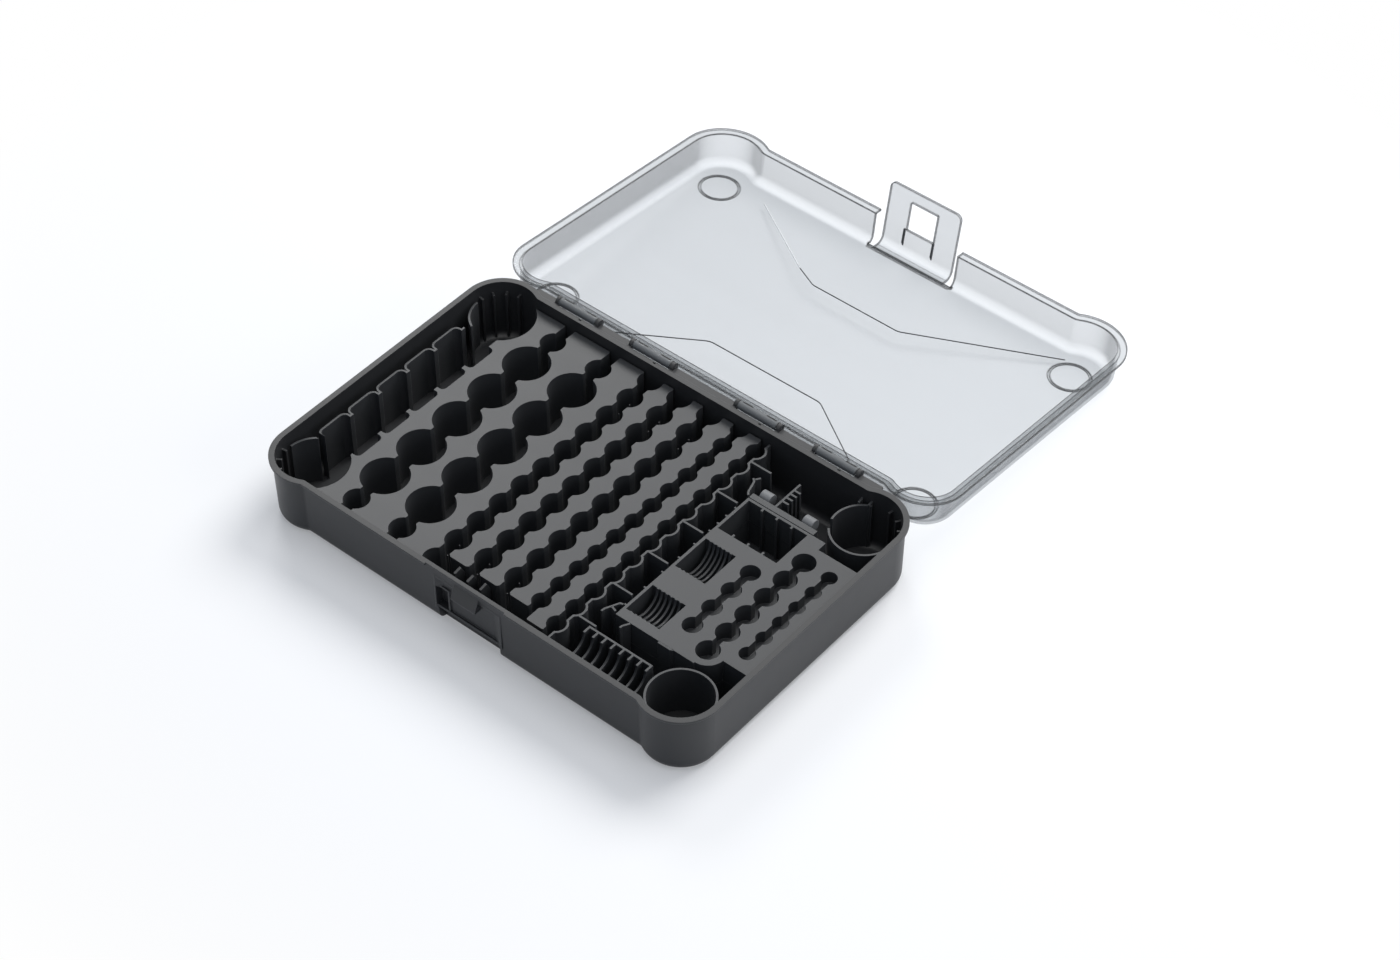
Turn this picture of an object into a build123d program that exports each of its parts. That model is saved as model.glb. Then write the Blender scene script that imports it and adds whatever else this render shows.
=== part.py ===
from build123d import *
from math import asin, atan2, cos, degrees, hypot, radians, sin
import os

os.makedirs("parts", exist_ok=True)

# A battery storage box: a dark moulded base with rows of pockets for round, square and
# coin cells, and a clear lid on four barrel hinges, laid open behind the base.
# X runs along the long side, +Y from the latch to the hinges, +Z up. The origin is the
# centre of the base's underside. Lengths are in mm.

# Base and lid
LENGTH = 305.0
WIDTH = 198.0              # over the corner lobes
GRID_X, GRID_Y = LENGTH / 305.0, WIDTH / 198.0     # steps of the tray's layout, 1 mm each on this box
LOBE_R = 24.1              # round corner lobes, each as wide as a big round cell
LOBE_OUT = 2.9             # how far the lobes stand proud of the front and back walls
LOBE_BLEND = 2.0           # rounding where a lobe runs into a wall
BASE_H = 41.2
LID_H = 22.2               # lid rim to the outer face of its panel
LID_GROW = 3.5             # the lid's rim beyond the base's, at its ends and front lobes
LID_FRONT = 1.8            # and along its front wall
LID_RIM_OUT = 4.2
RIM_GAP = 0.3              # between the two rims when the lid is shut
RIM_OUT = 1.8              # the rim flange beyond the wall below it
RIM_T = 1.4
WALL_T = 1.5
FLOOR_T = 1.2
DRAFT = 0.6                # how far a wall leans in over its height
BASE_EDGE_R = 5.5
LID_WALL_T = 1.5
LID_PANEL_T = 1.2
LID_EDGE_R = 6.0

# Tray inside the base
TRAY_DROP = 7.1            # the tray's top below the rim
TRAY_GAP = 0.5             # tray blocks to the base's wall
THIN_T = 1.2               # thin moulded walls and fins
TOOTH_R = 0.9              # rounding of the teeth between two cells

# Cells that the pockets take: diameter, and slack on it
CELL_D, SLACK_D = 34.2, 1.2
CELL_C, SLACK_C = 26.2, 1.4
CELL_AA, SLACK_AA = 14.5, 0.5
CELL_AAA, SLACK_AAA = 10.5, 0.3
SQUARE_CELL_X, SQUARE_CELL_Y = 26.5, 17.5
SQUARE_SLACK_X, SQUARE_SLACK_Y = 3.0, 2.0

# Rows of round pockets
C_ROWS_X = (-91.9 * GRID_X, -58.6 * GRID_X)
C_FIRST_Y, C_PITCH, C_COUNT, C_NECK = -58.1 * GRID_Y, 28.3 * GRID_Y, 5, 10.6
C_END_STEP = 22.0 * GRID_Y # from the last C cell to the small pocket behind it
AA_ROWS_X = (-30.2 * GRID_X, -9.0 * GRID_X, 12.1 * GRID_X)
AA_FIRST_Y, AA_PITCH, AA_COUNT, AA_NECK = -67.4 * GRID_Y, 17.3 * GRID_Y, 9, 7.4
AAA_FIRST_X, AAA_SECOND_X = 31.9 * GRID_X, 48.4 * GRID_X
AAA_FIRST_Y, AAA_SECOND_Y, AAA_PITCH = -71.7 * GRID_Y, -78.7 * GRID_Y, 14.7 * GRID_Y
AAA_COUNT, AAA_NECK = 11, 5.2
LATCH_TROUGH_Y = -79.2 * GRID_Y    # blocks behind the latch stop here

# Square pockets along the left wall
SQUARE_FIRST_Y, SQUARE_PITCH, SQUARE_COUNT = -47.5 * GRID_Y, 22.35 * GRID_Y, 5
SQUARE_CENTRE_X = -127.4 * GRID_X
SQUARE_NECK = 20.4         # pocket length left between two opposite teeth
SQUARE_CORNER_R = 3.0

# Corner pockets
FRONT_GAP, LAST_GAP = 1.8, 5.3      # the front wall to the first three blocks, and to the last
RIB_COUNT, RIB_T = 4, 1.2
CUP_TOP_DROP = 1.0
RING_REACH_FRONT, RING_REACH_BACK = 8.0, -7.4   # how far the left cups' walls run past their centres

# Fins right of the small round cells
SIDE_FIN_FIRST_Y, SIDE_FIN_PITCH, SIDE_FIN_COUNT = -67.3 * GRID_Y, 28.55 * GRID_Y, 6
SIDE_FIN_SHORT = 1.6       # how far they stop short of the coin tray

# Coin tray on the right
COIN_TRAY_X0, COIN_TRAY_FRONT_Y, COIN_TRAY_BACK_Y = 67.6 * GRID_X, -54.4 * GRID_Y, 47.5 * GRID_Y
COIN_TRAY_SLAB = 15.0
COIN_ROWS = (              # x, first y, pitch, count, diameter, depth
    (102.7 * GRID_X, -35.0 * GRID_Y, 15.7 * GRID_Y, 4, 11.3, 9.0),
    (119.7 * GRID_X, -43.0 * GRID_Y, 15.7 * GRID_Y, 6, 13.3, 12.0),
    (136.5 * GRID_X, -32.1 * GRID_Y, 13.5 * GRID_Y, 6, 9.1, 8.0),
)
COIN_ROW_NECK = 4.6
COIN_NOTCH_Y = -43.8 * GRID_Y
COIN_LIP = 3.9             # tray left round the front pocket of the middle row
WELL_X0 = 69.2 * GRID_X
WELL_A_Y, WELL_A_LEN, WELL_A_WIDE, WELL_A_FINS = 3.6 * GRID_Y, 25.4 * GRID_Y, 20.4 * GRID_X, 6
WELL_B_Y, WELL_B_LEN, WELL_B_WIDE, WELL_B_FINS = -37.5 * GRID_Y, 21.4 * GRID_Y, 22.4 * GRID_X, 6
WELL_FLOOR_Z = 14.0
CELL_WELL_Y, CELL_WELL_LEN, CELL_WELL_WIDE = 39.1 * GRID_Y, 26.0 * GRID_Y, 39.6 * GRID_X
CELL_WELL_RIBS, CELL_WELL_RIB = 3, 1.8
WELL_WALL_T = 1.5

# Tester dock behind the coin tray
RAIL_Y, RAIL_DEEP = 54.2 * GRID_Y, 3.6
RAIL_X0, RAIL_X1 = COIN_TRAY_X0, 111.0 * GRID_X
CLIP_X, CLIP_LONG, CLIP_R, CLIP_OUT = (74.0 * GRID_X, 102.8 * GRID_X), 6.6, 3.8, 4.2
CLIP_Y = RAIL_Y + RAIL_DEEP + CLIP_OUT
CLIP_RISE = 0.6
COMB_X, COMB_LONG = 82.8 * GRID_X, 21.2 * GRID_Y
COMB_TEETH, COMB_LEAD, COMB_PITCH, COMB_TOOTH = 4, 5.5 * GRID_Y, 3.4 * GRID_Y, 4.4

# Coin rack along the front wall
RACK_X0, RACK_SLOTS, RACK_PITCH = 63.2 * GRID_X, 7, 5.9 * GRID_X
RACK_DEEP, RACK_LAND, RACK_SCOOP_R = 22.1, 4.6, 9.0
RACK_GAP = 0.3             # to the side fin behind it

# Hinges along the back rim
HINGE_X = (-91.7 * GRID_X, -37.4 * GRID_X, 37.4 * GRID_X, 91.7 * GRID_X)
HINGE_LONG = 31.5
HINGE_OUT = 3.5            # axis beyond the back wall's rim
BARREL_R = 2.7
EAR_T = 2.0
EAR_GAP = 0.3
PIN_R = 1.2
PIN_FIT = 0.05             # radial, pin to the lid's barrel
PIN_SEAT = 0.0             # the pin is tight in the ears

# Latch
LATCH_X = 0.3
FLAP_WIDE, FLAP_T = 51.0, 1.6
FLAP_END_R = 4.0           # the two corners of its free end
FLAP_CORNER_R = 6.0        # where the flap turns back to its living hinge
FLAP_DOWN = 22.0           # the flap's free edge below the rim
FLAP_BACK = 6.6            # living hinge behind the rim's front edge
FLAP_REST = 4.0            # degrees outward when unlatched
FLAP_GAP = 0.45
WINDOW_WIDE, WINDOW_LOW, WINDOW_HIGH = 19.0, 13.8, 5.1
BEAD_R, BEAD_FIT = 0.75, 0.1
LAND_T = 1.5               # the panel behind the flap
LID_BREAK, BREAK_X = 59.5, 1.3
CATCH_SLACK = 1.0          # window to catch, sideways
CATCH_DROP, CATCH_TALL, CATCH_OUT = 4.4, 8.4, 3.4
RECESS_WIDE, RECESS_DEEP, RECESS_BEVEL = 45.0, 1.6, 5.0
RECESS_LOW, RECESS_HIGH = 10.5, 8.0
NOTCH_WIDE, NOTCH_TALL, NOTCH_DEEP = 43.0, 10.5, 5.4
SLIT_WIDE, SLIT_TOP, SLIT_DEEP = 8.0, 26.4, 5.0     # upright slit at the recess's left end
GUSSET_X, GUSSET_T, GUSSET_LONG = (-15.2, -6.2, 2.8), 1.4, 7.2
GUSSET_GAP, GUSSET_RISE, GUSSET_DROP = 0.4, 0.9, 4.5

# Foot rings on the lid's panel, round the corner lobes' centres
RING_R, RING_T, RING_H = 12.6, 1.2, 0.8
RING_FRONT_Y, RING_BACK_Y = -71.5 * GRID_Y, 76.0 * GRID_Y

# Worked out from the values above
TRAY_TOP = BASE_H - TRAY_DROP
HALF_L = LENGTH / 2
LOBE_X, LOBE_Y = HALF_L - LOBE_R, WIDTH / 2 - LOBE_R
RIM_Y = WIDTH / 2 - LOBE_OUT
INNER = RIM_OUT + WALL_T                    # rim edge to the inner wall, at the rim
INNER_LOW = INNER + DRAFT
BLOCK_Y = RIM_Y - INNER_LOW - TRAY_GAP
INNER_X = HALF_L - INNER_LOW
RACK_Y = -BLOCK_Y + RACK_DEEP
COMB_FIRST_Y, COMB_Y1 = RAIL_Y + RAIL_DEEP + COMB_LEAD, RAIL_Y + RAIL_DEEP + COMB_LONG
AXIS_Y, AXIS_Z = RIM_Y + HINGE_OUT, BASE_H + RIM_GAP / 2
LID_RIM_Z = BASE_H + RIM_GAP
LID_TOP_Z = LID_RIM_Z + LID_H
FLAP_AXIS_Y = -RIM_Y + FLAP_BACK
FLAP_AXIS_Z = LID_TOP_Z - BEAD_R
FLAP_FACE_Y = -RIM_Y - FLAP_GAP             # the flap's inner face when latched



def resting_tilt(y, z, r):
    """Degrees past flat at which a rounded corner of the lid, centred at y, z when shut, meets the floor."""
    reach, drop = AXIS_Y - y, z - AXIS_Z
    return degrees(asin((AXIS_Z - r) / hypot(reach, drop)) - atan2(drop, reach))


# The lid lies back past flat until its panel edge, its foot rings or the flap's corner meets the floor.
turn = radians(FLAP_REST)
corner_y, corner_z = FLAP_FACE_Y - FLAP_T + FLAP_CORNER_R - FLAP_AXIS_Y, BEAD_R - FLAP_CORNER_R
OPEN_TILT = min(
    resting_tilt(-LOBE_Y - LOBE_R - LID_GROW + LID_RIM_OUT + DRAFT + LID_EDGE_R, LID_TOP_Z - LID_EDGE_R,
                 LID_EDGE_R),
    resting_tilt(RING_FRONT_Y - RING_R, LID_TOP_Z + RING_H, 0.0),
    resting_tilt(FLAP_AXIS_Y + corner_y * cos(turn) + corner_z * sin(turn),
                 FLAP_AXIS_Z - corner_y * sin(turn) + corner_z * cos(turn), FLAP_CORNER_R),
)
OPEN_ANGLE = 180.0 + OPEN_TILT
HINGE_AXIS = Axis((0, AXIS_Y, AXIS_Z), (1, 0, 0))
FLAP_AXIS = Axis((0, FLAP_AXIS_Y, FLAP_AXIS_Z), (1, 0, 0))


def block(x0, x1, y0, y1, z0, z1):
    """A box from its six faces."""
    return Pos((x0 + x1) / 2, (y0 + y1) / 2, (z0 + z1) / 2) * Box(x1 - x0, y1 - y0, z1 - z0)


def rod(x, y, z0, z1, r):
    """An upright cylinder."""
    return Pos(x, y, (z0 + z1) / 2) * Cylinder(r, z1 - z0)


def rod_x(x0, x1, y, z, r):
    """A cylinder along X."""
    return Pos((x0 + x1) / 2, y, z) * Rot(0, 90, 0) * Cylinder(r, x1 - x0)


def raised(plan, z0, z1):
    """A plan drawn on the floor, as a body between two heights."""
    return Pos(0, 0, z0) * extrude(plan, z1 - z0, dir=(0, 0, 1))


def across(profile, x0, x1):
    """A profile drawn in Y and Z, as a body between two places along X."""
    return Pos(x0, 0, 0) * extrude(Plane.YZ * profile, x1 - x0, dir=(1, 0, 0))


def lobed(inset, grow=0.0, front=0.0):
    """The plan shared by the base and the lid, drawn in by inset, with grown ends, front lobes and front."""
    plan = Rectangle(2 * LOBE_X, 2 * (RIM_Y - inset)) + Rectangle(2 * (HALF_L + grow - inset), 2 * LOBE_Y)
    plan += Pos(0, -(RIM_Y - inset + front) / 2) * Rectangle(2 * LOBE_X, RIM_Y - inset + front)
    for sx in (-1, 1):
        plan += Pos(sx * LOBE_X, -LOBE_Y) * Circle(LOBE_R + grow - inset)
        plan += Pos(sx * (LOBE_X + grow), LOBE_Y) * Circle(LOBE_R - inset)
    walls = (RIM_Y - inset, -RIM_Y + inset - front)
    meets = [v for v in plan.vertices() if min(abs(v.Y - y) for y in walls) < 0.01 and abs(v.X) < LOBE_X - 1]
    return fillet(meets, LOBE_BLEND + inset)


def lobed_solid(inset_low, inset_high, z0, z1, grow=0.0, front=0.0):
    """A lobed body whose walls lean from one inset to the other."""
    if inset_low == inset_high:
        return raised(lobed(inset_low, grow, front), z0, z1)
    low, high = lobed(inset_low, grow, front), lobed(inset_high, grow, front)
    return loft([Pos(0, 0, z0) * low, Pos(0, 0, z1) * high])


def row_plan(x, ys, d, neck, y0, y1, grow=0.0):
    """A row of round pockets joined by a straight neck."""
    plan = Pos(x, (y0 + y1) / 2) * Rectangle(neck + 2 * grow, y1 - y0)
    for y in ys:
        plan += Pos(x, y) * Circle(d / 2 + grow)
    return plan


def spaced(first, pitch, count):
    """Evenly spaced places."""
    return [first + i * pitch for i in range(count)]


def round_teeth(solid, radius):
    """Round the upright outside corners of a block, where they will take it."""
    edges = solid.edges().filter_by(Axis.Z)
    try:
        return fillet(edges, radius)
    except Exception:
        return solid


def save(solid, name):
    """Write one piece and print its size."""
    box = solid.bounding_box()
    spans = "  ".join(f"{lo:7.2f} {hi:7.2f}" for lo, hi in zip(box.min, box.max))
    print(f"{name:24s} {spans}  solids {len(solid.solids())}")
    export_step(solid, f"parts/{name}.step")


# Plans of the rows
D_BORE = CELL_D + SLACK_D
C_BORE, AA_BORE, AAA_BORE = CELL_C + SLACK_C, CELL_AA + SLACK_AA, CELL_AAA + SLACK_AAA
c_ys = spaced(C_FIRST_Y, C_PITCH, C_COUNT)
aa_ys = spaced(AA_FIRST_Y, AA_PITCH, AA_COUNT)
aaa_ys = {AAA_FIRST_X: spaced(AAA_FIRST_Y, AAA_PITCH, AAA_COUNT),
          AAA_SECOND_X: spaced(AAA_SECOND_Y, AAA_PITCH, AAA_COUNT)}
c_end_ys = (c_ys[0] - C_END_STEP, c_ys[-1] + C_END_STEP)
FAR = BLOCK_Y + 5
rows = {}
for x in C_ROWS_X:
    small = row_plan(x, c_end_ys, AA_BORE, AA_NECK, -FAR, FAR)
    rows[x] = row_plan(x, c_ys, C_BORE, C_NECK, c_ys[0], c_ys[-1]) + small
for x in AA_ROWS_X:
    rows[x] = row_plan(x, aa_ys, AA_BORE, AA_NECK, -FAR, FAR)
    rows[x] += Pos(x, aa_ys[-1] + AA_PITCH) * Circle(AA_BORE / 2)
    rows[x] += Pos(x, aa_ys[0] - AA_PITCH) * Circle(AA_BORE / 2)
for x, ys in aaa_ys.items():
    rows[x] = row_plan(x, ys, AAA_BORE, AAA_NECK, -FAR, FAR)
rows[AAA_FIRST_X] += Pos(AAA_FIRST_X, aaa_ys[AAA_FIRST_X][-1] + AAA_PITCH) * Circle(AAA_BORE / 2)
rows[AAA_SECOND_X] += Pos(AAA_SECOND_X, aaa_ys[AAA_SECOND_X][-1] + AAA_PITCH) * Circle(AAA_BORE / 2)

# Square pockets: a straight run of bays with a tooth between each two
square_ys = spaced(SQUARE_FIRST_Y, SQUARE_PITCH, SQUARE_COUNT)
bay_x, bay_y = SQUARE_CELL_X + SQUARE_SLACK_X, SQUARE_CELL_Y + SQUARE_SLACK_Y
bays_y0, bays_y1 = square_ys[0] - bay_y / 2, square_ys[-1] + bay_y / 2


def square_plan(grow):
    """The run of square bays, grown by a wall."""
    run = Pos(SQUARE_CENTRE_X, (bays_y0 + bays_y1) / 2) * Rectangle(
        SQUARE_NECK + 2 * grow, bays_y1 - bays_y0 + 2 * SQUARE_CORNER_R)
    for y in square_ys:
        run += Pos(SQUARE_CENTRE_X, y) * RectangleRounded(
            bay_x + 2 * grow, bay_y + 2 * grow, SQUARE_CORNER_R + grow)
    return run


# ---- the base

outer = lobed_solid(RIM_OUT + DRAFT, RIM_OUT, 0, BASE_H)
outer = fillet(outer.faces().sort_by(Axis.Z)[0].edges(), BASE_EDGE_R)
rim = lobed_solid(0, 0, BASE_H - RIM_T, BASE_H)
hollow = lobed_solid(INNER_LOW, INNER, FLOOR_T, BASE_H + 1)
hollow = fillet(hollow.faces().sort_by(Axis.Z)[0].edges(), BASE_EDGE_R - FLOOR_T)
tray_room = lobed_solid(INNER_LOW + TRAY_GAP, INNER + TRAY_GAP, FLOOR_T, BASE_H)
tray_room = fillet(tray_room.faces().sort_by(Axis.Z)[0].edges(), BASE_EDGE_R - FLOOR_T)

shell = outer + rim - hollow

# The rim steps back where the latch flap hangs
flap_half = FLAP_WIDE / 2 + 2 * CATCH_SLACK
shell -= block(LATCH_X - flap_half, LATCH_X + flap_half, -RIM_Y - 1, -RIM_Y + RIM_OUT * 0.55,
               BASE_H - RIM_T - 1, BASE_H + 1)

# A shallow recess with slanted ends under the rim, behind the flap
wall_y = -RIM_Y + RIM_OUT
recess_plan = Polygon(
    (LATCH_X - RECESS_WIDE / 2, wall_y - 2), (LATCH_X - RECESS_WIDE / 2, wall_y),
    (LATCH_X - RECESS_WIDE / 2 + RECESS_BEVEL, wall_y + RECESS_DEEP),
    (LATCH_X + RECESS_WIDE / 2 - RECESS_BEVEL, wall_y + RECESS_DEEP),
    (LATCH_X + RECESS_WIDE / 2, wall_y), (LATCH_X + RECESS_WIDE / 2, wall_y - 2), align=None)
recess_back = Polygon(
    (LATCH_X - RECESS_WIDE / 2 - 1, wall_y),
    (LATCH_X - RECESS_WIDE / 2 + RECESS_BEVEL - 1, wall_y + RECESS_DEEP + WALL_T),
    (LATCH_X + RECESS_WIDE / 2 - RECESS_BEVEL + 1, wall_y + RECESS_DEEP + WALL_T),
    (LATCH_X + RECESS_WIDE / 2 + 1, wall_y), align=None)
recess_z0, recess_z1 = RECESS_LOW, BASE_H - RECESS_HIGH
shell += raised(recess_back, recess_z0 - WALL_T, recess_z1 + WALL_T)
shell -= raised(recess_plan, recess_z0, recess_z1)

# Finger notch in the lower edge, boxed in from behind
notch_x0, notch_x1 = LATCH_X - NOTCH_WIDE / 2, LATCH_X + NOTCH_WIDE / 2
notch_back = wall_y + NOTCH_DEEP + WALL_T
shell += block(notch_x0 - WALL_T, notch_x1 + WALL_T, wall_y, notch_back, 0, NOTCH_TALL + WALL_T) & outer
shell -= block(notch_x0, notch_x1, wall_y - 5, wall_y + NOTCH_DEEP, -1, NOTCH_TALL)

# An upright slit at the left end of the recess, boxed in as well
slit_x0, slit_z0 = LATCH_X - RECESS_WIDE / 2, NOTCH_TALL + WALL_T
slit_x1, slit_y1 = slit_x0 + SLIT_WIDE, wall_y + SLIT_DEEP
shell += block(slit_x0 - THIN_T, slit_x1 + THIN_T, wall_y + WALL_T / 2, slit_y1 + THIN_T,
               slit_z0 - WALL_T / 3, SLIT_TOP + THIN_T) & outer
shell -= block(slit_x0, slit_x1, wall_y - 3, slit_y1, slit_z0, SLIT_TOP)

# Catch: a wedge that grows outward as it goes down, then turns back in
catch_half = WINDOW_WIDE / 2 - CATCH_SLACK
catch_z1 = BASE_H - CATCH_DROP
catch_z0 = catch_z1 - CATCH_TALL
catch_in = wall_y + RECESS_DEEP + 0.4
catch_profile = Polygon(
    (catch_in, catch_z1), (wall_y, catch_z1), (wall_y - CATCH_OUT, catch_z0 + 0.8),
    (wall_y - CATCH_OUT, catch_z0), (catch_in, catch_z0), align=None)
shell += across(catch_profile, LATCH_X - catch_half, LATCH_X + catch_half)

# Hinge ears on the back rim, each pair holding one pin
ear_web_y = RIM_Y - 1.2
ears = []
for x in HINGE_X:
    for side in (-1, 1):
        x0 = x + side * (HINGE_LONG / 2 - EAR_T)
        x1 = x + side * HINGE_LONG / 2
        lo, hi = min(x0, x1), max(x0, x1)
        ear = rod_x(lo, hi, AXIS_Y, AXIS_Z, BARREL_R)
        ear += block(lo, hi, ear_web_y, AXIS_Y, AXIS_Z - BARREL_R, BASE_H)
        ear += block(lo, hi, RIM_Y - RIM_OUT - 0.4, RIM_Y + 0.4, AXIS_Z - BARREL_R, BASE_H - RIM_T / 2)
        ears.append(ear)
    # a small vent notch in the ledge in front of the barrel
    shell -= block(x + 3.4, x + 5.4, RIM_Y - 1.6, RIM_Y - 0.9, BASE_H - 0.8, BASE_H + 1)
for ear in ears:
    shell += ear
for x in HINGE_X:
    shell -= rod_x(x - HINGE_LONG / 2 - 1, x + HINGE_LONG / 2 - EAR_T / 2, AXIS_Y, AXIS_Z, PIN_R + PIN_SEAT)

# Upright ribs in the corner lobes hold a big round cell off the wall
for sx in (-1, 1):
    for sy in (-1, 1):
        if (sx, sy) == (1, -1):
            continue
        for i in range(RIB_COUNT):
            angle = (i + 0.5) * 90 / RIB_COUNT
            start = {(1, 1): 0, (-1, 1): 90, (-1, -1): 180}[(sx, sy)]
            rib = Pos(LOBE_X * sx, LOBE_Y * sy) * Rot(0, 0, start + angle)
            rib *= Pos((D_BORE / 2 + LOBE_R - INNER_LOW + 0.8) / 2, 0, (FLOOR_T + TRAY_TOP) / 2)
            depth = LOBE_R - INNER_LOW + 0.8 - D_BORE / 2
            shell += (rib * Box(depth, RIB_T, TRAY_TOP - FLOOR_T)) & outer

save(shell, "base_shell")

# ---- gussets behind the latch wall, pointed at the top
gusset_y1 = LATCH_TROUGH_Y - GUSSET_GAP
gusset_y0 = gusset_y1 - GUSSET_LONG
gussets = []
for x in GUSSET_X:
    profile = Polygon((gusset_y0, FLOOR_T), (gusset_y0, TRAY_TOP),
                      (gusset_y1 - GUSSET_LONG / 3, TRAY_TOP + GUSSET_RISE),
                      (gusset_y1, TRAY_TOP - GUSSET_DROP), (gusset_y1, FLOOR_T), align=None)
    gussets.append(across(profile, x - GUSSET_T / 2, x + GUSSET_T / 2))
save(Compound(children=gussets), "latch_wall_gussets")

# ---- the blocks between the rows
D_CLEAR = D_BORE / 2 + THIN_T + 1.0


def divider(x0, x1, y0, y1, cuts):
    """A block between two rows, scalloped by them."""
    plan = Pos((x0 + x1) / 2, (y0 + y1) / 2) * Rectangle(x1 - x0, y1 - y0)
    for cut in cuts:
        plan -= cut
    return round_teeth(raised(plan, FLOOR_T, TRAY_TOP), TOOTH_R) & tray_room


row_xs = [*C_ROWS_X, *AA_ROWS_X, AAA_FIRST_X, AAA_SECOND_X]
left_x = SQUARE_CENTRE_X + SQUARE_NECK / 2
corner_cuts = [Pos(-LOBE_X, sy * LOBE_Y) * Circle(D_CLEAR) for sy in (-1, 1)]
names = ["divider_square_to_c", "divider_c_to_c", "divider_c_to_aa", "divider_aa_left", "divider_aa_right",
         "divider_aa_to_aaa", "divider_aaa"]
fronts = [-BLOCK_Y + FRONT_GAP] * 3 + [LATCH_TROUGH_Y] * 3 + [-BLOCK_Y + LAST_GAP]
edges = [left_x, *row_xs]
for i, name in enumerate(names):
    cuts = [rows[x] for x in row_xs if edges[i] - 1 < x < edges[i + 1] + 1]
    if i == 0:
        cuts += [square_plan(0.0), *corner_cuts]
    save(divider(edges[i], edges[i + 1], fronts[i], BLOCK_Y, cuts), name)

# ---- the thin wall that closes the last row, with its side fins
wave_ys = aaa_ys[AAA_SECOND_X]
inner_wave = rows[AAA_SECOND_X]
outer_ys = wave_ys + [wave_ys[-1] + AAA_PITCH]
outer_wave = row_plan(AAA_SECOND_X, outer_ys, AAA_BORE, AAA_NECK, -FAR, FAR, THIN_T)
wave = (outer_wave - inner_wave) & (Pos(AAA_SECOND_X + 20, 0) * Rectangle(40, 2 * BLOCK_Y))
fins = None
fin_x0 = AAA_SECOND_X + AAA_NECK / 2
fin_x1 = COIN_TRAY_X0 - TRAY_GAP - SIDE_FIN_SHORT
for y in spaced(SIDE_FIN_FIRST_Y, SIDE_FIN_PITCH, SIDE_FIN_COUNT):
    arm = Pos((fin_x0 + fin_x1) / 2, y) * Rectangle(fin_x1 - fin_x0, THIN_T)
    fins = arm if fins is None else fins + arm
side_wall = raised(wave, FLOOR_T, TRAY_TOP)
side_fins = raised(fins - inner_wave, FLOOR_T, TRAY_TOP)
rack_edge_y = RACK_Y + THIN_T / 2 + RACK_GAP
side_fins -= block(RACK_X0 - THIN_T / 2 - RACK_GAP, COIN_TRAY_X0, -BLOCK_Y, rack_edge_y, 0, BASE_H)
save((side_wall + side_fins) & tray_room, "wavy_side_wall")

# ---- the thin wall round the square pockets and the two left corner pockets
thin = square_plan(THIN_T) - square_plan(0.0)
left_half = Pos(SQUARE_CENTRE_X - 20, 0) * Rectangle(40, bays_y1 - bays_y0 + 2 * SQUARE_CORNER_R - 0.2)
thin &= left_half
inner_left = -INNER_X + TRAY_GAP
for sy in (-1, 1):
    ring = Pos(-LOBE_X, sy * LOBE_Y) * (Circle(D_BORE / 2 + THIN_T) - Circle(D_BORE / 2))
    end_y = bays_y0 - SQUARE_CORNER_R if sy < 0 else bays_y1 + SQUARE_CORNER_R
    far_y = sy * LOBE_Y
    arc_x1 = -LOBE_X + (RING_REACH_FRONT if sy < 0 else RING_REACH_BACK)
    window = Pos((inner_left + arc_x1) / 2, (end_y + far_y) / 2) * Rectangle(
        arc_x1 - inner_left, abs(end_y - far_y) - 1.0)
    thin += ring & window
square_wall = raised(thin, FLOOR_T, TRAY_TOP)
save(square_wall & tray_room, "square_pocket_wall")

# ---- round cups in the right corners
cup = Circle(D_BORE / 2 + THIN_T) - Circle(D_BORE / 2)
cup_z = TRAY_TOP - CUP_TOP_DROP
save(Pos(LOBE_X, -LOBE_Y, 0) * raised(cup, FLOOR_T, cup_z) & tray_room, "front_corner_cup")
gap = Rot(0, 0, 205) * Pos(D_BORE / 2, 0) * Rectangle(12, 7)
open_side = Rot(0, 0, 45) * Pos(D_BORE / 2 + 6, 0) * Rectangle(34, 62)
back_cup = cup - open_side - gap
save(Pos(LOBE_X, LOBE_Y, 0) * raised(back_cup, FLOOR_T, cup_z) & tray_room, "back_corner_cup")

# ---- the coin tray: a slab with rows of shallow pockets over a skirt
tray_x1 = INNER_X - TRAY_GAP
mid_x, mid_y, _, _, mid_d, _ = COIN_ROWS[1]


def tray_plan(inset):
    """The coin tray's outline, drawn in by inset."""
    shape = None
    for x1, y0, y1 in ((mid_x, COIN_TRAY_FRONT_Y, RAIL_Y - TRAY_GAP),
                       (tray_x1, COIN_NOTCH_Y, COIN_TRAY_BACK_Y),
                       (RAIL_X1, COIN_TRAY_FRONT_Y + LOBE_R, RAIL_Y - TRAY_GAP)):
        part = Pos((COIN_TRAY_X0 + x1) / 2, (y0 + y1) / 2) * Rectangle(
            x1 - COIN_TRAY_X0 - 2 * inset, y1 - y0 - 2 * inset)
        shape = part if shape is None else shape + part
    shape += Pos(mid_x, mid_y) * Circle(mid_d / 2 + COIN_LIP - inset)
    for sy in (-1, 1):
        shape -= Pos(LOBE_X, sy * LOBE_Y) * Circle(D_BORE / 2 + THIN_T + TRAY_GAP + inset)
    return shape


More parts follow.
